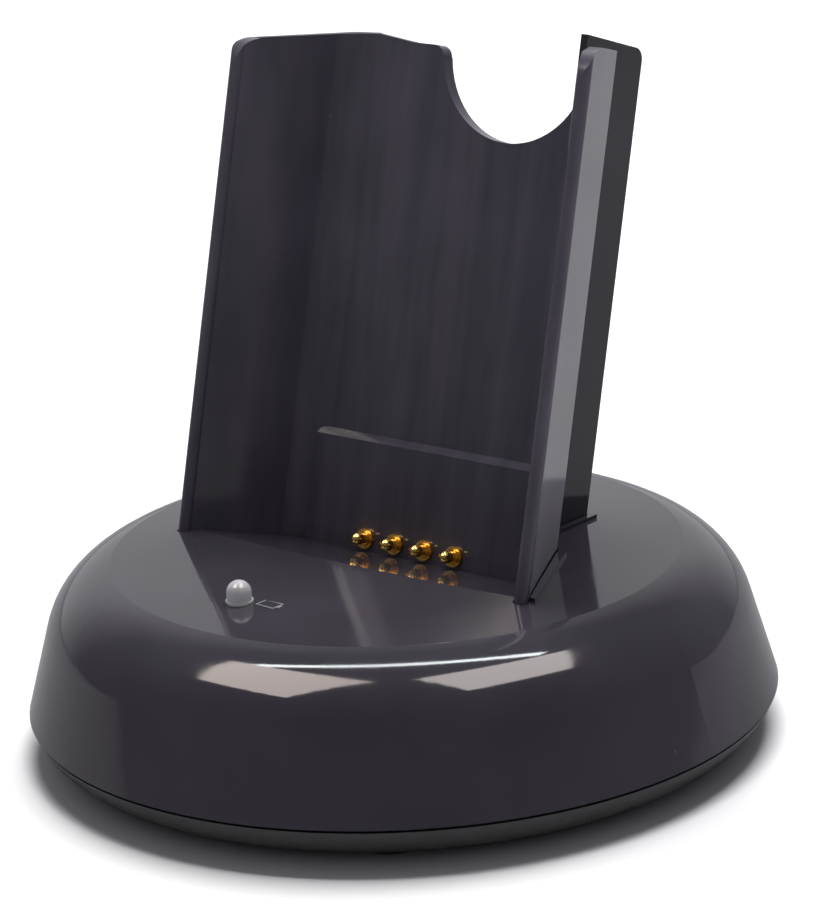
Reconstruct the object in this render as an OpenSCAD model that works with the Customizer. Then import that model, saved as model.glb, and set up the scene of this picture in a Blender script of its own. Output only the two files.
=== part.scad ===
// Charging cradle of a cordless phone.
// Millimetres. +Z up, +X to the right, the open side of the cradle faces -Y.
// z = 0 is the surface that the rubber feet stand on.

/* [Base] */
// radius of the round base at its parting line
base_r = 46.2; // [45:0.1:47]
// height of the upper shell above the parting line
dome_h = 19.3; // [18.8:0.1:20]
// radius of the rounded shoulder
shoulder_r = 10.5; // [9:0.5:11.5]
// radius of the gently crowned top
crown_r = 500; // [350:50:800]
// wall thickness of the base shells
shell_t = 2; // [1.8:0.1:2.2]

/* [Upright] */
// backward lean of the upright, degrees
lean = 15.4; // [13:0.2:17]
// length of the upright at its back corners
up_len = 59.4; // [57:0.5:62]
// half width across the front edges of the wings
wing_front = 27; // [26.2:0.2:27.8]
// half width across the back corners
wing_back = 20; // [19.6:0.1:20.4]
// radius of the thumb notch
notch_r = 11; // [9:0.5:11]
// sideways position of the thumb notch
notch_x = 6.5; // [5:0.1:7.3]
// height of the notch centre along the upright
notch_w = 58; // [56:0.2:58.6]
// height of the step across the back plate
step_w = 8.45; // [7.5:0.1:10]

/* [Contacts] */
// spacing of the four contacts
pin_pitch = 4.6; // [4.2:0.1:5]
// travel of each contact
pin_travel = 1; // [0.6:0.1:1]

/* [Lamp] */
// radius of the lamp lens
lamp_r = 1.5; // [1.3:0.1:1.6]

/* [Hidden] */
$fn = 64;

part_z = 5.2;                   // parting line
gap = 0.2;                      // half of the shadow gap at the parting line
dome_z = part_z + dome_h;       // crown of the top
up_y = 10.96;                   // where the upright's frame starts
up_z = dome_z - 0.9;
flank = 16;                   // slope of the flank, degrees from upright
fnx = cos(flank);
fnz = sin(flank);

// shoulder circle: touches the crown from inside and sets the flank line
sc_x = 31.9;
sc_z = dome_z - crown_r + sqrt(pow(crown_r - shoulder_r, 2) - sc_x * sc_x);
// flank line passes through the tangent point; its foot is at the parting line
function foot_x(o) = sc_x + (shoulder_r - o) * fnx
  + ((sc_z + (shoulder_r - o) * fnz) - part_z) * fnz / fnx;
kx = base_r - foot_x(0);        // moves the shoulder so that the foot is at base_r

plate_f = -6.5;                 // front face of the back plate
plate_b = -4.7;                 // rear face of the back plate
block_f = -7.6;                 // front face of the raised lower area
wing_v = -19.6;                 // front edge of the wings
wall = 1.8;
in_front = wing_front - 1.8;
in_back = wing_back - 2;
seat_w = -5;                    // seat floor, square to the upright
root_w = -7;                    // lower end of the upright
pin_w = -3.5;
spine_x = 15.3;
spine_b = 7.3;
spine_top = 42;

jack_z = 12.7;
lamp_p = [-2.5, -26.3];
pcb_z = 7.2;
pcb_t = 1.6;
pcb_top = pcb_z + pcb_t;

// ---------- helpers ----------
module up() translate([0, up_y, up_z]) rotate([-lean, 0, 0]) children();
// local frame of the upright: x sideways, y to the back, z along the upright
module along_v(x, w, v0, v1, r) translate([x, v0, w]) rotate([-90, 0, 0]) cylinder(r = r, h = v1 - v0);
function surf(r) = dome_z - crown_r + sqrt(crown_r * crown_r - r * r);

// 2D half profile of the upper shell, moved inwards by o
module dome_profile(o) {
  cx = sc_x + kx;
  cr = shoulder_r - o;
  tx = cx + cr * fnx;
  tz = sc_z + cr * fnz;
  fx = foot_x(o) + kx;
  intersection() {
    union() {
      polygon([[0, part_z - 3], [fx + 3 * fnz / fnx, part_z - 3], [tx, tz], [cx, sc_z], [cx, dome_z + 5], [0, dome_z + 5]]);
      translate([cx, sc_z]) circle(r = cr, $fn = 128);
    }
    translate([0, part_z - 3]) square([60, 60]);
    translate([0, dome_z - crown_r]) intersection() {
      circle(r = crown_r - o, $fn = 720);
      translate([0, crown_r - 60]) square([80, 80]);
    }
  }
}
module dome_solid(o) rotate_extrude($fn = 180) dome_profile(o);

// corner helper: circle centre and tangent points of a rounded corner between
// the level line v = v0 (towards -x) and the wing line from (x0, v0) to (x1, v1)
function wdir(x0, v0, x1, v1) = let (l = sqrt(pow(x1 - x0, 2) + pow(v1 - v0, 2))) [(x1 - x0) / l, (v1 - v0) / l];
function half_ang(d) = acos(-d[0]) / 2;

module section(x0, v0, x1, v1, r) {
  d = wdir(x0, v0, x1, v1);
  t = r / tan(half_ang(d));
  cx = x0 - t;
  cv = v0 - r;
  tx = x0 + d[0] * t;
  tv = v0 + d[1] * t;
  polygon([[-x1, v1], [-tx, tv], [-cx, cv], [-cx, v0], [cx, v0], [cx, cv], [tx, tv], [x1, v1]]);
  for (s = [-1, 1]) translate([s * cx, cv]) circle(r = r);
}
// outline of the upright, seen along it
module outer_section(e) section(wing_back + e, plate_b + e, wing_front + e, wing_v, 1.2 + e);
module inner_section() {
  section(in_back, plate_f, in_front, wing_v, 5);
  translate([-in_front, wing_v - 6]) square([2 * in_front, 6.001]);
}
module u_section() {
  difference() {
    outer_section(0);
    inner_section();
  }
  for (s = [-1, 1]) translate([s * (wing_front + in_front) / 2, wing_v]) circle(r = 0.87);
}
// floor of the seat, seen along the upright
module seat_2d() intersection() {
  union() {
    section(in_back - 0.12, plate_f - 0.12, in_front - 0.12, wing_v, 4.9);
    translate([-in_front + 0.12, wing_v - 8]) square([2 * in_front - 0.24, 8.001]);
  }
  translate([-40, -40]) square([80, 40 + block_f - 0.12]);
}
module slot_2d() difference() {
  union() {
    outer_section(0.12);
    for (s = [-1, 1]) translate([s * (wing_front + in_front) / 2, wing_v]) circle(r = 1);
  }
  seat_2d();
}
module spine_outline(e) translate([-spine_x - e, plate_b + 0.1]) square([2 * (spine_x + e), spine_b - plate_b - 0.1 + e]);

// ---------- base ----------
boss_p = [[33, -17], [-33, -17], [33, 19], [-33, 19]];
post_p = [[23.4, -27], [-23.4, -27], [23.4, -2], [-23.4, -2]];
feet_p = [[21, -29], [-21, -29], [21, 29], [-21, 29]];
ball_p = [[14, 14], [-14, 14]];
crad_p = [[28, 9.5], [-28, 9.5]];

module top_housing() color([0.06, 0.055, 0.075]) {
  difference() {
    union() {
      difference() {
        intersection() {
          dome_solid(0);
          translate([0, 0, part_z + gap]) cylinder(r = 60, h = 40);
        }
        difference() {
          dome_solid(shell_t);
          // screw bosses stay
          for (p = boss_p) translate([p[0], p[1], 0]) cylinder(r = 3.1, h = 40);
          for (p = crad_p) translate([p[0], p[1], 19.25]) cylinder(r = 2.4, h = 20);
          // floor of the seat
          up() translate([0, 0, seat_w - 2.4]) linear_extrude(height = 12) seat_2d();
        }
      }
      // bead around the feet of the upright
      intersection() {
        dome_solid(-0.45);
        up() translate([0, 0, -8]) linear_extrude(height = 16) {
          difference() {
            outer_section(0.9);
            translate([-40, wing_v - 9]) square([80, 9.6]);
          }
          spine_outline(0.9);
        }
        translate([0, 0, 21.9]) cylinder(r = 40, h = 10);
      }
    }
    // slot for the upright, and the seat in front of it
    up() {
      translate([0, 0, -14]) linear_extrude(height = 40) {
        slot_2d();
        spine_outline(0.12);
      }
      translate([0, 0, seat_w]) linear_extrude(height = 30) seat_2d();
    }
    translate([0, 0, part_z - 4]) cylinder(r = 60, h = 4 + gap);
    for (p = boss_p) translate([p[0], p[1], -1]) cylinder(r = 1.35, h = 16, $fn = 32);
    for (p = crad_p) translate([p[0], p[1], 10]) cylinder(r = 1, h = 12.7, $fn = 32);
    // lamp
    translate([lamp_p[0], lamp_p[1], 10]) cylinder(r = lamp_r + 0.08, h = 20);
    mark_solid();
    // power socket
    translate([0, 30, jack_z]) rotate([-90, 0, 0]) cylinder(r = 3.9, h = 20);
  }
}

module bottom_cover() color([0.07, 0.065, 0.085]) difference() {
  union() {
    rotate_extrude($fn = 180) difference() {
      union() {
        intersection() {
          union() {
            translate([base_r - 7, 7.6]) circle(r = 7.2, $fn = 96);
            square([base_r - 7, part_z - gap]);
          }
          translate([0, 1]) square([60, part_z - gap - 1]);
        }
        translate([base_r - 4.8, 2]) square([1.6, 5]);
      }
      translate([0, 2.8]) square([base_r - 4.8, 10]);
    }
    for (p = boss_p) translate([p[0], p[1], 1]) cylinder(r = 4.2, h = 3.9);
    for (p = post_p) translate([p[0], p[1], 2]) cylinder(r = 2.4, h = pcb_z - 2);
    for (p = ball_p) translate([p[0], p[1], 2]) cylinder(r = 2.8, h = 3.4);
  }
  for (p = boss_p) translate([p[0], p[1], 0]) {
    cylinder(r = 1.6, h = 8, $fn = 32);
    cylinder(r = 2.7, h = 2.8, $fn = 32);
  }
  for (p = boss_p) translate([p[0], p[1], 4.95]) cylinder(r = 3.5, h = 8);
  for (p = post_p) translate([p[0], p[1], 2.6]) cylinder(r = 1, h = 8, $fn = 32);
  for (p = ball_p) translate([p[0], p[1], 2.4]) cylinder(r = 1.15, h = 8, $fn = 32);
  for (p = feet_p) translate([p[0], p[1], 0]) cylinder(r = 4.6, h = 1.5);
}

module rubber_feet() color([0.12, 0.12, 0.12])
  for (p = feet_p) translate([p[0], p[1], 0]) cylinder(r = 4.5, h = 1.5);

module ballast_plate() color([0.55, 0.56, 0.58]) difference() {
  translate([-20, -22, 2.8]) cube([40, 46, 2.8]);
  for (p = ball_p) translate([p[0], p[1], 0]) cylinder(r = 3, h = 10);
  // corner cuts clear the posts
  for (s = [-1, 1]) translate([s * 20, -22, 0]) rotate([0, 0, 45]) cube([4, 4, 20], center = true);
}

module ballast_screws() color([0.7, 0.7, 0.72]) for (p = ball_p) translate([p[0], p[1], 0]) {
  translate([0, 0, 2.6]) cylinder(r = 1.1, h = 3.1, $fn = 32);
  difference() {
    translate([0, 0, 5.6]) cylinder(r = 3.9, h = 0.9, $fn = 48);
    cross_recess([0, 0, 6.1], 1.4);
  }
}
module cross_recess(p, s) translate(p) for (a = [0, 90]) rotate([0, 0, a]) translate([-s, -0.25, 0]) cube([2 * s, 0.5, 3]);

module main_board() color([0.1, 0.35, 0.18]) difference() {
  union() {
    translate([-26.5, -31, pcb_z]) cube([53, 33, pcb_t]);
    translate([-9, 1, pcb_z]) cube([18, 39, pcb_t]);
  }
  for (p = post_p) translate([p[0], p[1], 0]) cylinder(r = 1.2, h = 20, $fn = 32);
  for (s = [-0.7, 0.7]) translate([lamp_p[0] + s, lamp_p[1], 0]) cylinder(r = 0.35, h = 20, $fn = 24);
}
module board_screws() color([0.7, 0.7, 0.72]) for (p = post_p) translate([p[0], p[1], 0]) {
  translate([0, 0, 3]) cylinder(r = 0.95, h = pcb_top - 3 + 0.01, $fn = 32);
  difference() {
    translate([0, 0, pcb_top]) cylinder(r = 2, h = 1.2, $fn = 32);
    cross_recess([0, 0, pcb_top + 0.6], 1.2);
  }
}
module housing_screws() color([0.7, 0.7, 0.72]) for (p = boss_p) translate([p[0], p[1], 0]) {
  difference() {
    translate([0, 0, 1.3]) cylinder(r = 2.4, h = 1.5, $fn = 32);
    translate([0, 0, -1.1]) cross_recess([0, 0, 0], 1.3);
  }
  translate([0, 0, 2.7]) cylinder(r = 1.3, h = 9.3, $fn = 32);
}
module charge_chip() color([0.08, 0.08, 0.08]) {
  translate([8, -16, pcb_top + 0.15]) cube([6, 5, 1.5]);
  for (i = [0:3]) for (s = [0, 1]) translate([8.6 + i * 1.27, s == 0 ? -17 : -11.2, pcb_top]) cube([0.5, 1.2, 0.4]);
}
module power_inductor() color([0.2, 0.2, 0.22]) translate([-10, -14, pcb_top]) {
  translate([-4, -4, 0]) cube([8, 8, 0.8]);
  cylinder(r = 2.2, h = 4.2);
  translate([0, 0, 0.8]) cylinder(r = 3.4, h = 2.4);
  translate([0, 0, 3.2]) cylinder(r = 3.9, h = 1);
}
module smoothing_capacitors() color([0.15, 0.16, 0.3]) for (p = [[17.5, -20.5], [-17.5, -22]])
  translate([p[0], p[1], pcb_top]) {
    cylinder(r = 3.1, h = 1);
    cylinder(r = 2.95, h = 8);
  }
module chip_parts() color([0.6, 0.55, 0.45]) {
  for (i = [0:4]) translate([2, -24 + i * 2.6, pcb_top]) cube([2, 1.2, 0.6]);
  for (i = [0:3]) translate([18 - 0.2 * i, -13 + i * 2.6, pcb_top]) cube([2, 1.2, 0.8]);
  translate([-3.2, 20, pcb_top]) cube([4.4, 2.6, 2]);
}
module board_header() color([0.9, 0.88, 0.8]) {
  difference() {
    translate([-6.5, -3.4, pcb_top]) cube([13, 4.4, 4]);
    for (i = [0:3]) translate([(i - 1.5) * 2.54, 1.1, pcb_top + 2]) rotate([90, 0, 0]) cylinder(r = 0.5, h = 2.1, $fn = 24);
  }
}

// four wires: along the board, up, then leaning into the contact board
wire_r = 0.42;
module wire_bend(y, z, a0, a1, r) translate([0, y, z]) rotate([90, 0, 90]) rotate([0, 0, a0])
  rotate_extrude(angle = a1 - a0, $fn = 48) translate([r, 0]) circle(r = wire_r + 0.03, $fn = 32);
module contact_wires() color([0.7, 0.1, 0.1]) {
  br = 1.2;
  by = 11.4;
  z1 = pcb_top + 2;
  z2 = up_z - 9.25;
  for (i = [0:3]) translate([(i - 1.5) * 2.54, 0, 0]) {
    translate([0, -0.9, z1]) rotate([-90, 0, 0]) cylinder(r = wire_r, h = by + 0.95, $fn = 32);
    wire_bend(by, z1 + br, -90, 0, br);
    translate([0, by + br, z1 + br - 0.05]) cylinder(r = wire_r, h = z2 - z1 - br + 0.1, $fn = 32);
    wire_bend(by, z2, 0, 90 - lean, br);
    translate([0, by + br * cos(90 - lean), z2 + br * sin(90 - lean)]) rotate([90 - lean, 0, 0])
      translate([0, 0, -0.05]) cylinder(r = wire_r, h = 2.8, $fn = 32);
  }
}

module dc_jack_shell() color([0.05, 0.05, 0.05]) difference() {
  union() {
    translate([-3.8, 30.5, pcb_top]) cube([7.6, 9, 7.8]);
    translate([0, 30.5, jack_z]) rotate([-90, 0, 0]) cylinder(r = 3.75, h = 11.9);
  }
  translate([0, 32, jack_z]) rotate([-90, 0, 0]) cylinder(r = 2.8, h = 20);
  translate([0, 29, jack_z]) rotate([-90, 0, 0]) cylinder(r = 1.05, h = 5, $fn = 32);
  translate([-5, 28, pcb_z - 5]) cube([10, 20, 5 + pcb_t]);
}
module dc_jack_pin() color([0.8, 0.8, 0.82]) translate([0, 30, jack_z]) rotate([-90, 0, 0]) {
  cylinder(r = 1.05, h = 11, $fn = 32);
  translate([0, 0, 11]) sphere(r = 1.05, $fn = 32);
}

// ---------- lamp ----------
module lamp_lens() color([0.9, 0.9, 0.92, 0.7]) translate([lamp_p[0], lamp_p[1], 0]) {
  zs = surf(norm(lamp_p));
  translate([0, 0, 21.6]) cylinder(r = lamp_r, h = zs + 1.2 - 21.6);
  translate([0, 0, zs + 1.2]) sphere(r = lamp_r);
  translate([0, 0, zs + 0.07]) cylinder(r = lamp_r + 0.16, h = 0.2);
}
module lamp_body() color([0.85, 0.85, 0.8]) translate([lamp_p[0], lamp_p[1], 0]) {
  translate([0, 0, 17.4]) cylinder(r = 1.75, h = 1);
  translate([0, 0, 18.4]) cylinder(r = 1.45, h = 3.2);
  for (s = [-0.7, 0.7]) translate([s, 0, pcb_z - 0.8]) cylinder(r = 0.28, h = 17.5 - pcb_z + 0.8, $fn = 24);
}
module mark_2d() translate([1.3, -25.3]) rotate([0, 0, -4]) {
  difference() {
    translate([-1.45, -0.95]) square([2.9, 1.9]);
    translate([-1.23, -0.73]) square([2.46, 1.46]);
  }
  translate([1.44, -0.4]) square([0.36, 0.8]);
}
module mark_solid() translate([0, 0, surf(25.3) - 0.35]) linear_extrude(height = 0.39) mark_2d();
module lamp_mark() color([0.75, 0.75, 0.75]) mark_solid();

// ---------- upright ----------
// the top slopes down to the front, and a little to the left
slope_v = 0.15;
slope_x = 0.05;
corner_r = 3.4;
function top_w(x, v) = up_len + 0.1 + slope_v * (v - plate_b) + slope_x * x;
module top_trim() {
  translate([0, plate_b, top_w(0, plate_b)]) rotate([atan(slope_v), -atan(slope_x), 0])
    translate([-50, -50, 0]) cube([100, 100, 30]);
  // rounded front corner of each wing
  tip = wing_v - 0.87;
  for (s = [-1, 1]) {
    wc = top_w(s * 26, tip) - corner_r * (1 / cos(atan(slope_v)) - slope_v);
    translate([s > 0 ? 15 : -40, 0, 0]) rotate([90, 0, 90]) linear_extrude(height = 25) difference() {
      translate([tip - 5, wc]) square([5 + corner_r * (1 - sin(atan(slope_v))), 12]);
      translate([tip + corner_r, wc]) circle(r = corner_r);
    }
  }
}
module notch() {
  lip_w = up_len - 1.5;
  // the notch itself
  along_v(notch_x, notch_w, -9.5, 0, notch_r);
  translate([notch_x - notch_r, -9.5, notch_w]) cube([2 * notch_r, 9.5, 10]);
  // the back plate ends a little below the corners
  translate([-9.5, -9.5, lip_w]) cube([12, 9.5, 5]);
  translate([-16, -7, 0]) rotate([90, 0, 0]) translate([0, 0, -7]) linear_extrude(height = 9.5)
    polygon([[0, up_len - 0.75], [6.6, lip_w], [6.6, up_len + 3], [0, up_len + 3]]);
  // rounded lip
  difference() {
    translate([notch_x - notch_r - 1.5, -9.5, lip_w - 1.5]) cube([1.6, 9.5, 1.6]);
    along_v(notch_x - notch_r - 1.5, lip_w - 1.5, -9.6, 0.1, 1.5);
  }
}
module cradle_channel() color([0.065, 0.06, 0.08]) {
  difference() {
    union() {
      up() difference() {
        union() {
          translate([0, 0, root_w]) linear_extrude(height = up_len - root_w) u_section();
          // raised lower area behind the contacts
          intersection() {
            translate([0, 0, root_w]) linear_extrude(height = 20) inner_section();
            rotate([90, 0, 90]) translate([0, 0, -16.6]) linear_extrude(height = 33.2)
              polygon([[block_f, root_w], [block_f, step_w], [plate_f - 0.01, step_w + 0.8], [plate_f + 0.2, step_w + 0.8], [plate_f + 0.2, root_w]]);
          }
          // bosses for the spine cover and the contact board
          for (w = [14, 34]) along_v(0, w, plate_b - 0.2, 5.2, 2.4);
          for (s = [-1, 1]) along_v(s * 13.5, -4.3, plate_b - 0.2, -1.2, 1.7);
        }
        top_trim();
        notch();
        for (w = [14, 34]) along_v(0, w, -3.6, 8, 1.1, $fn = 32);
        for (s = [-1, 1]) along_v(s * 13.5, -4.3, -5.6, 8, 0.9, $fn = 32);
      }
      // fixing tabs under the top shell
      for (s = [-1, 1]) translate([s > 0 ? 17.3 : -31.2, 2.6, 17.6]) cube([13.9, 9.8, 1.6]);
    }
    up() for (i = [0:3]) along_v((i - 1.5) * pin_pitch, pin_w, -9, 0, 1.02, $fn = 48);
    for (p = crad_p) translate([p[0], p[1], 10]) cylinder(r = 1.1, h = 20, $fn = 32);
  }
}
module cradle_screws() color([0.7, 0.7, 0.72]) for (p = crad_p) translate([p[0], p[1], 0]) {
  difference() {
    translate([0, 0, 16.4]) cylinder(r = 2, h = 1.2, $fn = 32);
    translate([0, 0, 14]) cross_recess([0, 0, 0], 1.2);
  }
  translate([0, 0, 17.5]) cylinder(r = 0.95, h = 4.9, $fn = 32);
}

module spine_cover() color([0.06, 0.055, 0.07]) up() difference() {
  v0 = plate_b + 0.1;
  t = 1.4;
  union() {
    // two side walls that run to the top
    for (s = [-1, 1]) rotate([90, 0, 90]) translate([0, 0, s > 0 ? spine_x - 1 : -spine_x]) linear_extrude(height = 1) {
      top = up_len + (s > 0 ? 1.6 : -2.6);
      polygon([[v0, -2.4], [v0, top], [spine_b - 1.6, top - 0.7], [spine_b - 1.6, -2.4]]);
      polygon([[spine_b - 3, -2.4], [spine_b - 3, top - 2.3], [spine_b, top - 2.3], [spine_b, -2.4]]);
      intersection() {
        translate([spine_b - 1.6, top - 2.3]) circle(r = 1.6);
        translate([spine_b - 1.61, top - 2.31]) square([3, 3]);
      }
    }
    // rear wall and sloping top
    translate([-spine_x + 0.2, spine_b - t, -2.4]) cube([2 * spine_x - 0.4, t, spine_top + 2.4]);
    rotate([90, 0, 90]) translate([0, 0, -spine_x + 0.2]) linear_extrude(height = 2 * spine_x - 0.4)
      polygon([[v0, spine_top + 2.4], [spine_b, spine_top], [spine_b, spine_top - t], [v0, spine_top + 2.4 - t]]);
    // screw seats
    for (w = [14, 34]) along_v(0, w, 5.3, spine_b, 3.6);
  }
  for (w = [14, 34]) {
    along_v(0, w, 0, 9, 1.25, $fn = 32);
    along_v(0, w, 6.1, 9, 2.2, $fn = 32);
  }
}
module spine_screws() color([0.7, 0.7, 0.72]) up() for (w = [14, 34]) difference() {
  union() {
    along_v(0, w, -2, 6.2, 1.05, $fn = 32);
    along_v(0, w, 6.1, 7.1, 2, $fn = 32);
  }
  translate([0, 6.6, w]) rotate([-90, 0, 0]) cross_recess([0, 0, 0], 1.2);
}

// ---------- contacts ----------
module contact_carrier() color([0.2, 0.2, 0.22]) up() difference() {
  translate([-10.4, plate_b + 0.05, -6.4]) cube([20.8, 3.4, 4.9]);
  for (i = [0:3]) along_v((i - 1.5) * pin_pitch, pin_w, -9, 5, 1.02, $fn = 48);
}
module contact_barrels() color([0.85, 0.65, 0.25]) up() for (i = [0:3]) {
  x = (i - 1.5) * pin_pitch;
  difference() {
    union() {
      along_v(x, pin_w, -8.05, block_f, 1.28, $fn = 48);
      along_v(x, pin_w, -8.5, -8.04, 0.98, $fn = 48);
      along_v(x, pin_w, block_f - 0.01, -1.25, 0.98, $fn = 48);
      along_v(x, pin_w, -1.26, 0.9, 0.3, $fn = 24);
    }
    along_v(x, pin_w, -8.6, -1.8, 0.78, $fn = 48);
    along_v(x, pin_w, -8.0, -1.8, 0.86, $fn = 48);
  }
}
module plunger(i) color([0.95, 0.75, 0.3]) up() {
  x = (i - 1.5) * pin_pitch;
  translate([x, -9.6, pin_w]) sphere(r = 0.74, $fn = 48);
  along_v(x, pin_w, -9.6, -7.4, 0.74, $fn = 48);
  along_v(x, pin_w, -7.95, -5.2, 0.82, $fn = 48);
}
module contact_plunger_1() plunger(0);
module contact_plunger_2() plunger(1);
module contact_plunger_3() plunger(2);
module contact_plunger_4() plunger(3);
// each spring is a stack of rings joined side by side, a stand-in for the coil
module spring(i) color([0.75, 0.76, 0.78]) up() {
  x = (i - 1.5) * pin_pitch;
  difference() {
    union() {
      for (k = [0:5]) translate([x, -5.0 + k * 0.58, pin_w]) rotate([-90, 0, 0]) rotate_extrude($fn = 32) translate([0.56, 0]) circle(r = 0.15, $fn = 16);
      for (k = [0:4]) for (s = [-1, 1]) if ((k % 2 == 0) == (s > 0)) along_v(x + s * 0.56, pin_w, -5.0 + k * 0.58, -5.0 + (k + 1) * 0.58, 0.13, $fn = 16);
    }
  }
}
module contact_spring_1() spring(0);
module contact_spring_2() spring(1);
module contact_spring_3() spring(2);
module contact_spring_4() spring(3);
module contact_board() color([0.1, 0.35, 0.18]) up() difference() {
  translate([-16.5, -1.15, -8.6]) cube([33, 1.2, 6]);
  for (i = [0:3]) along_v((i - 1.5) * pin_pitch, pin_w, -3, 3, 0.36, $fn = 24);
  for (s = [-1, 1]) along_v(s * 13.5, -4.3, -3, 3, 1, $fn = 32);
}
module carrier_screws() color([0.7, 0.7, 0.72]) up() for (s = [-1, 1]) difference() {
  union() {
    along_v(s * 13.5, -4.3, -5.2, 0.1, 0.85, $fn = 32);
    along_v(s * 13.5, -4.3, 0.05, 1.05, 1.7, $fn = 32);
  }
  translate([s * 13.5, 0.6, -4.3]) rotate([-90, 0, 0]) cross_recess([0, 0, 0], 1);
}

top_housing();
cradle_channel();
spine_cover();
bottom_cover();
contact_carrier();
contact_barrels();
contact_plunger_1();
contact_plunger_2();
contact_plunger_3();
contact_plunger_4();
contact_spring_1();
contact_spring_2();
contact_spring_3();
contact_spring_4();
contact_board();
contact_wires();
lamp_lens();
lamp_body();
lamp_mark();
main_board();
charge_chip();
power_inductor();
smoothing_capacitors();
chip_parts();
board_header();
dc_jack_shell();
dc_jack_pin();
ballast_plate();
ballast_screws();
board_screws();
housing_screws();
cradle_screws();
spine_screws();
carrier_screws();
rubber_feet();
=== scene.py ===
import math

import bpy
from mathutils import Matrix, Vector

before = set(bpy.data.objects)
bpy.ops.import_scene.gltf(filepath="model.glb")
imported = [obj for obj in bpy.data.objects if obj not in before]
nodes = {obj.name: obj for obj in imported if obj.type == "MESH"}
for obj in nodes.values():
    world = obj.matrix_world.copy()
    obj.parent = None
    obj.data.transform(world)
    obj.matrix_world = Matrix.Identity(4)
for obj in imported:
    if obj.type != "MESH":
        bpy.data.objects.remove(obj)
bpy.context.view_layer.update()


# ---------- camera ----------
def make_camera():
    cam = bpy.data.cameras.new("camera")
    ob = bpy.data.objects.new("camera", cam)
    bpy.context.scene.collection.objects.link(ob)
    back = Vector((0.60327036, -0.73770884, 0.30306853))
    up = Vector((-0.15013523, 0.26816608, 0.951602))
    right = up.cross(back).normalized()
    up = back.cross(right).normalized()
    m = Matrix((right, up, back)).transposed().to_4x4()
    m.translation = Vector((0.27673, -0.33517, 0.17176))
    ob.matrix_world = m
    cam.sensor_width = 36.0
    cam.lens = 148.2
    cam.shift_x = -0.8 / 913
    cam.shift_y = 8.5 / 913
    cam.clip_start = 0.02
    cam.clip_end = 20
    bpy.context.scene.camera = ob
    return ob


make_camera()
scene = bpy.context.scene
scene.view_settings.view_transform = "Standard"
scene.view_settings.look = "None"


# ---------- materials ----------
class Mat:
    """Small helper around one node material."""

    def __init__(self, name):
        self.m = bpy.data.materials.new(name)
        self.m.use_nodes = True
        self.t = self.m.node_tree
        self.t.nodes.clear()
        self.out = self.t.nodes.new("ShaderNodeOutputMaterial")
        self.b = self.t.nodes.new("ShaderNodeBsdfPrincipled")
        self.t.links.new(self.b.outputs[0], self.out.inputs[0])
        tc = self.t.nodes.new("ShaderNodeTexCoord")
        self.co = tc.outputs["Object"]

    def n(self, kind, **kw):
        node = self.t.nodes.new(kind)
        for k, v in kw.items():
            setattr(node, k, v)
        return node

    def link(self, a, b):
        self.t.links.new(a, b)

    def noise(self, scale, detail=3.0, rough=0.55, stretch=None):
        nz = self.n("ShaderNodeTexNoise")
        nz.inputs["Scale"].default_value = scale
        nz.inputs["Detail"].default_value = detail
        nz.inputs["Roughness"].default_value = rough
        if stretch:
            mp = self.n("ShaderNodeMapping")
            mp.inputs["Scale"].default_value = stretch
            self.link(self.co, mp.inputs["Vector"])
            self.link(mp.outputs[0], nz.inputs["Vector"])
        else:
            self.link(self.co, nz.inputs["Vector"])
        return nz.outputs["Fac"]

    def ramp(self, fac, stops):
        r = self.n("ShaderNodeValToRGB")
        els = r.color_ramp.elements
        while len(els) < len(stops):
            els.new(0.5)
        for el, (pos, col) in zip(els, stops):
            el.position = pos
            el.color = col if len(col) == 4 else (*col, 1)
        self.link(fac, r.inputs[0])
        return r.outputs[0]

    def span(self, fac, lo, hi, a=0.3, b=0.7):
        r = self.n("ShaderNodeMapRange")
        r.inputs["From Min"].default_value = a
        r.inputs["From Max"].default_value = b
        r.inputs["To Min"].default_value = lo
        r.inputs["To Max"].default_value = hi
        self.link(fac, r.inputs["Value"])
        return r.outputs[0]

    def math(self, op, a, b):
        m = self.n("ShaderNodeMath", operation=op)
        for i, v in enumerate((a, b)):
            if isinstance(v, (int, float)):
                m.inputs[i].default_value = v
            else:
                self.link(v, m.inputs[i])
        return m.outputs[0]

    def bump(self, height, distance, strength=1.0, then=None):
        bp = self.n("ShaderNodeBump")
        bp.inputs["Strength"].default_value = strength
        bp.inputs["Distance"].default_value = distance
        self.link(height, bp.inputs["Height"])
        if then is not None:
            self.link(then, bp.inputs["Normal"])
        return bp.outputs[0]

    def colour(self, sock):
        self.link(sock, self.b.inputs["Base Color"])

    def rough(self, sock):
        self.link(sock, self.b.inputs["Roughness"])

    def normal(self, sock):
        self.link(sock, self.b.inputs["Normal"])

    def set(self, **kw):
        names = {"metal": "Metallic", "ior": "IOR", "coat": "Coat Weight", "coat_rough": "Coat Roughness",
                 "trans": "Transmission Weight", "sss": "Subsurface Weight", "alpha": "Alpha"}
        for k, v in kw.items():
            self.b.inputs[names[k]].default_value = v
        return self


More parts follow.
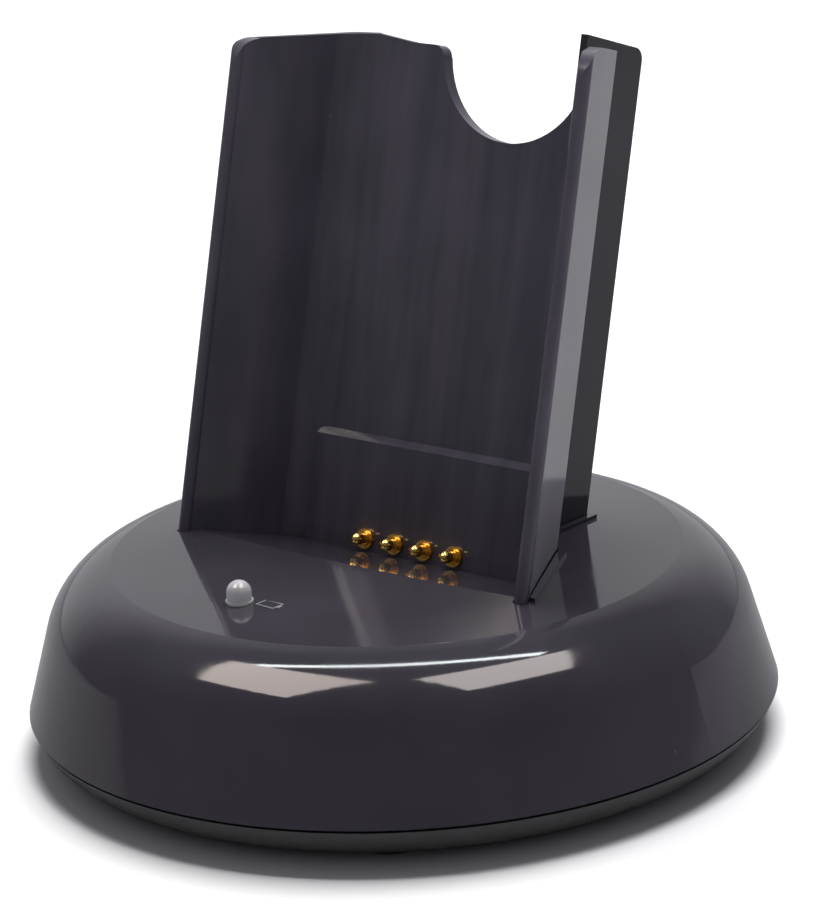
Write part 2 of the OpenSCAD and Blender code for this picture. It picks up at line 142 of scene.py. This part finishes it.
def gloss_black(name, tint=(0.0165, 0.0145, 0.0225), low=0.035, high=0.12, swirl=1.0, streak=0.0):
    """Polished black moulding: faint sink waves, hairline scuffs, a few dust specks."""
    a = Mat(name)
    broad = a.noise(55, 2)
    fine = a.noise(900, 2)
    col = a.ramp(broad, [(0.3, tuple(c * 0.86 for c in tint)), (0.7, tuple(c * 1.15 for c in tint))])
    specks = a.n("ShaderNodeTexVoronoi")
    specks.inputs["Scale"].default_value = 330
    a.link(a.co, specks.inputs["Vector"])
    dots = a.ramp(specks.outputs["Distance"], [(0.0, (1, 1, 1)), (0.05, (0, 0, 0))])
    keep = a.ramp(specks.outputs["Color"], [(0.86, (0, 0, 0)), (0.9, (1, 1, 1))])
    dust = a.math("MULTIPLY", dots, keep)
    mix = a.n("ShaderNodeMix", data_type="RGBA")
    a.link(dust, mix.inputs[0])
    if streak:
        # painted reflection: faint light and dark streaks drawn out along the upright, standing in for the room
        # mirrored in the channel's gloss
        lines = a.n("ShaderNodeMix", data_type="RGBA", blend_type="MULTIPLY")
        lines.inputs[0].default_value = streak
        painted_reflection_streaks = a.ramp(a.noise(330, 3, 0.6, (1.0, 0.25, 0.035)), [(0.35, (0.62, 0.6, 0.64)), (0.68, (1.0, 0.93, 0.96))])
        a.link(col, lines.inputs[6])
        a.link(painted_reflection_streaks, lines.inputs[7])
        col = lines.outputs[2]
    a.link(col, mix.inputs[6])
    mix.inputs[7].default_value = (0.16, 0.16, 0.165, 1)
    a.colour(mix.outputs[2])
    scuff = a.noise(260, 4, 0.7, (1.0, 0.12, 1.0))
    smear = a.noise(38, 4, 0.6, (1.6, 1.0, 0.35))
    r1 = a.span(smear, low, high, 0.35, 0.75)
    r2 = a.span(scuff, 0.0, 0.05, 0.55, 0.8)
    r3 = a.math("MULTIPLY", dust, 0.4)
    a.rough(a.math("ADD", a.math("ADD", r1, r2), r3))
    wave = a.bump(a.noise(30, 1), 0.00011 * swirl, 1.0)
    a.normal(a.bump(fine, 0.0000012, 1.0, wave))
    a.set(ior=1.5)
    return a.m


def satin_black(name):
    a = Mat(name)
    col = a.ramp(a.noise(60, 3), [(0.2, (0.047, 0.0465, 0.0485)), (0.8, (0.056, 0.055, 0.057))])
    a.colour(col)
    a.rough(a.span(a.noise(420, 3), 0.26, 0.32, 0.1, 0.9))
    a.normal(a.bump(a.noise(3800, 2), 0.000004))
    a.set(ior=1.5)
    return a.m


def plastic(name, c, rough=(0.35, 0.55), grain=2400, depth=0.00001, ior=1.5):
    a = Mat(name)
    a.colour(a.ramp(a.noise(140, 4), [(0.25, tuple(x * 0.82 for x in c)), (0.75, tuple(min(1, x * 1.14) for x in c))]))
    a.rough(a.span(a.noise(500, 3), *rough))
    a.normal(a.bump(a.noise(grain, 2), depth))
    a.set(ior=ior)
    return a.m


def metal(name, c, rough=(0.12, 0.3), stretch=(1, 1, 1), scale=1600, depth=0.000003):
    a = Mat(name)
    a.colour(a.ramp(a.noise(700, 4), [(0.25, tuple(x * 0.8 for x in c)), (0.75, tuple(min(1, x * 1.08) for x in c))]))
    a.rough(a.span(a.noise(scale, 3, 0.6, stretch), *rough))
    a.normal(a.bump(a.noise(scale * 1.7, 2, 0.5, stretch), depth))
    a.set(metal=1.0)
    return a.m


def milky(name):
    a = Mat(name)
    a.colour(a.ramp(a.noise(900, 3), [(0.3, (0.58, 0.57, 0.58)), (0.7, (0.7, 0.69, 0.7))]))
    a.rough(a.span(a.noise(1500, 3), 0.08, 0.2))
    a.normal(a.bump(a.noise(2600, 2), 0.000006))
    a.b.inputs["Subsurface Weight"].default_value = 0.45
    a.b.inputs["Subsurface Radius"].default_value = (0.001, 0.001, 0.0012)
    a.b.inputs["Subsurface Scale"].default_value = 1.0
    a.b.inputs["Transmission Weight"].default_value = 0.35
    a.set(ior=1.5, coat=0.4, coat_rough=0.04)
    # painted glow: a faint constant emission brightens the lens although the lamp is off
    a.b.inputs["Emission Color"].default_value = (0.95, 0.95, 1.0, 1)
    a.b.inputs["Emission Strength"].default_value = 0.04
    return a.m


def board(name):
    """Green solder mask with copper tracks showing through."""
    a = Mat(name)
    br = a.n("ShaderNodeTexBrick")
    br.inputs["Scale"].default_value = 260
    br.inputs["Mortar Size"].default_value = 0.06
    br.inputs["Color1"].default_value = (0.012, 0.085, 0.03, 1)
    br.inputs["Color2"].default_value = (0.016, 0.11, 0.04, 1)
    br.inputs["Mortar"].default_value = (0.04, 0.2, 0.06, 1)
    a.link(a.co, br.inputs["Vector"])
    mix = a.n("ShaderNodeMix", data_type="RGBA", blend_type="MULTIPLY")
    mix.inputs[0].default_value = 0.5
    a.link(br.outputs["Color"], mix.inputs[6])
    a.link(a.ramp(a.noise(300, 3), [(0.2, (0.6, 0.6, 0.6)), (0.8, (1, 1, 1))]), mix.inputs[7])
    a.colour(mix.outputs[2])
    a.rough(a.span(a.noise(600, 3), 0.25, 0.45))
    a.normal(a.bump(br.outputs["Fac"], 0.00002))
    a.set(coat=0.3, coat_rough=0.15)
    return a.m


MATS = {
    "upper": gloss_black("gloss_black_upper", tint=(0.041, 0.037, 0.047)),
    # the channel copy of the black plastic is painted much lighter than the others: painted fill light standing in for
    # light from the camera side
    "channel": gloss_black("gloss_black_channel_painted_fill", tint=(0.102, 0.096, 0.122), low=0.06, high=0.15, swirl=0.7, streak=0.8),
    "rear": gloss_black("gloss_black_rear", tint=(0.028, 0.027, 0.033), low=0.05, high=0.16, swirl=0.6),
    "pan": satin_black("satin_black_pan"),
    "grey": plastic("filled_moulding", (0.07, 0.07, 0.078)),
    "gold_b": metal("gold_collar", (0.83, 0.5, 0.13), rough=(0.16, 0.34)),
    "gold_p": metal("gold_tip", (0.92, 0.6, 0.18), rough=(0.06, 0.2)),
    "spring": metal("spring_wire", (0.62, 0.62, 0.64), rough=(0.15, 0.3)),
    "board": board("solder_mask"),
    "wire": plastic("wire_sleeve", (0.42, 0.03, 0.03), rough=(0.3, 0.5)),
    "lens": milky("milky_resin_painted_glow"),
    "resin": plastic("lamp_resin", (0.72, 0.72, 0.66), rough=(0.08, 0.2)),
    "mark": plastic("mark_ink", (0.2, 0.2, 0.215), rough=(0.4, 0.6), depth=0.000002),
    "chip": plastic("chip_package", (0.022, 0.022, 0.024), rough=(0.45, 0.65)),
    "ferrite": plastic("ferrite", (0.075, 0.075, 0.08), rough=(0.5, 0.8), depth=0.00002),
    "cap": plastic("capacitor_sleeve", (0.035, 0.045, 0.14), rough=(0.2, 0.4)),
    "ceramic": plastic("ceramic_chips", (0.42, 0.34, 0.24), rough=(0.35, 0.6)),
    "ivory": plastic("header_ivory", (0.72, 0.68, 0.56), rough=(0.3, 0.5)),
    "jack": plastic("jack_moulding", (0.02, 0.02, 0.022), rough=(0.35, 0.55)),
    "nickel": metal("nickel_plate", (0.72, 0.7, 0.66), rough=(0.1, 0.25)),
    "steel": metal("zinc_sheet", (0.5, 0.51, 0.53), rough=(0.25, 0.5), stretch=(1, 0.05, 1), scale=900),
    "screw": metal("screw_zinc", (0.58, 0.58, 0.6), rough=(0.18, 0.38)),
    "rubber": plastic("foot_rubber", (0.02, 0.02, 0.02), rough=(0.7, 0.9), grain=1800, depth=0.00003),
}
USE = {
    "top_housing": "upper", "cradle_channel": "channel", "spine_cover": "rear", "bottom_cover": "pan",
    "contact_carrier": "grey", "contact_barrels": "gold_b", "contact_board": "board", "contact_wires": "wire",
    "lamp_lens": "lens", "lamp_body": "resin", "lamp_mark": "mark", "main_board": "board", "charge_chip": "chip",
    "power_inductor": "ferrite", "smoothing_capacitors": "cap", "chip_parts": "ceramic", "board_header": "ivory",
    "dc_jack_shell": "jack", "dc_jack_pin": "nickel", "ballast_plate": "steel", "ballast_screws": "screw",
    "board_screws": "screw", "housing_screws": "screw", "cradle_screws": "screw", "spine_screws": "screw",
    "carrier_screws": "screw", "rubber_feet": "rubber",
}
for i in range(1, 5):
    USE["contact_plunger_%d" % i] = "gold_p"
    USE["contact_spring_%d" % i] = "spring"


def finish_node(name, bevel=None, angle=28):
    ob = nodes[name]
    ob.data.materials.clear()
    ob.data.materials.append(MATS[USE[name]])
    for p in ob.data.polygons:
        p.material_index = 0


for name in nodes:
    finish_node(name)

# ---------- floor and light ----------
S = bpy.context.scene.collection


def plane(name, size, mat, at=(0, 0, 0)):
    x, y = size
    me = bpy.data.meshes.new(name)
    me.from_pydata([(-x, -y, 0), (x, -y, 0), (x, y, 0), (-x, y, 0)], [], [(0, 1, 2, 3)])
    ob = bpy.data.objects.new(name, me)
    ob.location = at
    me.materials.append(mat)
    S.objects.link(ob)
    return ob


fl = Mat("floor_paper")
fl.colour(fl.ramp(fl.noise(9, 3), [(0.3, (0.86, 0.86, 0.87)), (0.7, (0.9, 0.9, 0.9))]))
fl.rough(fl.span(fl.noise(60, 3), 0.75, 0.9))
fl.set(ior=1.3)
floor = plane("floor", (1.6, 1.6), fl.m)
floor.visible_glossy = False
# what the gloss picks up from the table top is a darker sheet
dk = Mat("floor_reflected")
dk.colour(dk.ramp(dk.noise(9, 3), [(0.3, (0.24, 0.24, 0.25)), (0.7, (0.28, 0.28, 0.29))]))
dk.rough(dk.span(dk.noise(60, 3), 0.75, 0.9))
sheet = plane("floor_reflected", (1.6, 1.6), dk.m, (0, 0, 0.0001))
sheet.visible_camera = False
sheet.visible_diffuse = False
sheet.visible_transmission = False
sheet.visible_shadow = False


def aim(ob, at, to):
    ob.location = at
    ob.rotation_mode = "QUATERNION"
    ob.rotation_quaternion = (Vector(to) - Vector(at)).to_track_quat("-Z", "Y")


def area(name, az, el, dist, size, power, color=(1, 1, 1), to=(0, 0, 0.03), spread=180, roll=0):
    li = bpy.data.lights.new(name, "AREA")
    li.shape = "RECTANGLE"
    li.size, li.size_y = size
    li.energy = power
    li.color = color
    li.spread = math.radians(spread)
    ob = bpy.data.objects.new(name, li)
    S.objects.link(ob)
    a, e = math.radians(az), math.radians(el)
    at = Vector((math.cos(a) * math.cos(e), math.sin(a) * math.cos(e), math.sin(e))) * dist + Vector(to)
    aim(ob, at, to)
    if roll:
        ob.rotation_quaternion = ob.rotation_quaternion @ Matrix.Rotation(math.radians(roll), 3, "Z").to_quaternion()
    return ob


# a wide overhead box that gives the shadow, and three panels that only show in the gloss
area("overhead", 112, 69, 1.1, (0.7, 0.5), 18).visible_glossy = False


def ceiling(name, x, y, size, turn, power, color=(1, 1, 1)):
    """A light panel overhead that only shows as a reflection, so it adds no shadow of its own."""
    li = bpy.data.lights.new(name, "AREA")
    li.shape = "RECTANGLE"
    li.size, li.size_y = size
    li.energy = power
    li.color = color
    ob = bpy.data.objects.new(name, li)
    S.objects.link(ob)
    ob.location = (x, y, 1.1)
    ob.rotation_euler = (0, 0, math.radians(turn))
    ob.visible_diffuse = False
    return ob


ceiling("box_left", -0.38, -0.53, (0.74, 0.72), -17, 15, (1.0, 0.88, 0.82))
ceiling("box_right", 0.555, 0.09, (0.56, 0.7), -14, 10.5, (1.0, 0.92, 0.9))
ceiling("strip", -0.125, 0.13, (1.0, 0.07), 33.5, 4.6, (0.95, 1.0, 1.0))

w = bpy.data.worlds.new("studio")
w.use_nodes = True
scene.world = w
wt = w.node_tree
wt.nodes.clear()
wo = wt.nodes.new("ShaderNodeOutputWorld")
bg = wt.nodes.new("ShaderNodeBackground")
wt.links.new(bg.outputs[0], wo.inputs[0])
tc = wt.nodes.new("ShaderNodeTexCoord")
sep = wt.nodes.new("ShaderNodeSeparateXYZ")
wt.links.new(tc.outputs["Generated"], sep.inputs[0])
# the far side of the room is paler than the side behind the camera
dot = wt.nodes.new("ShaderNodeVectorMath")
dot.operation = "DOT_PRODUCT"
dot.inputs[1].default_value = (-0.69, 0.72, 0.1)
wt.links.new(tc.outputs["Generated"], dot.inputs[0])
ramp = wt.nodes.new("ShaderNodeValToRGB")
wt.links.new(dot.outputs["Value"], ramp.inputs[0])
e0, e1 = ramp.color_ramp.elements
e0.position, e0.color = 0.62, (0.15, 0.15, 0.165, 1)
e1.position, e1.color = 0.9, (0.66, 0.66, 0.68, 1)
wt.links.new(ramp.outputs[0], bg.inputs["Color"])
bg.inputs["Strength"].default_value = 1.0
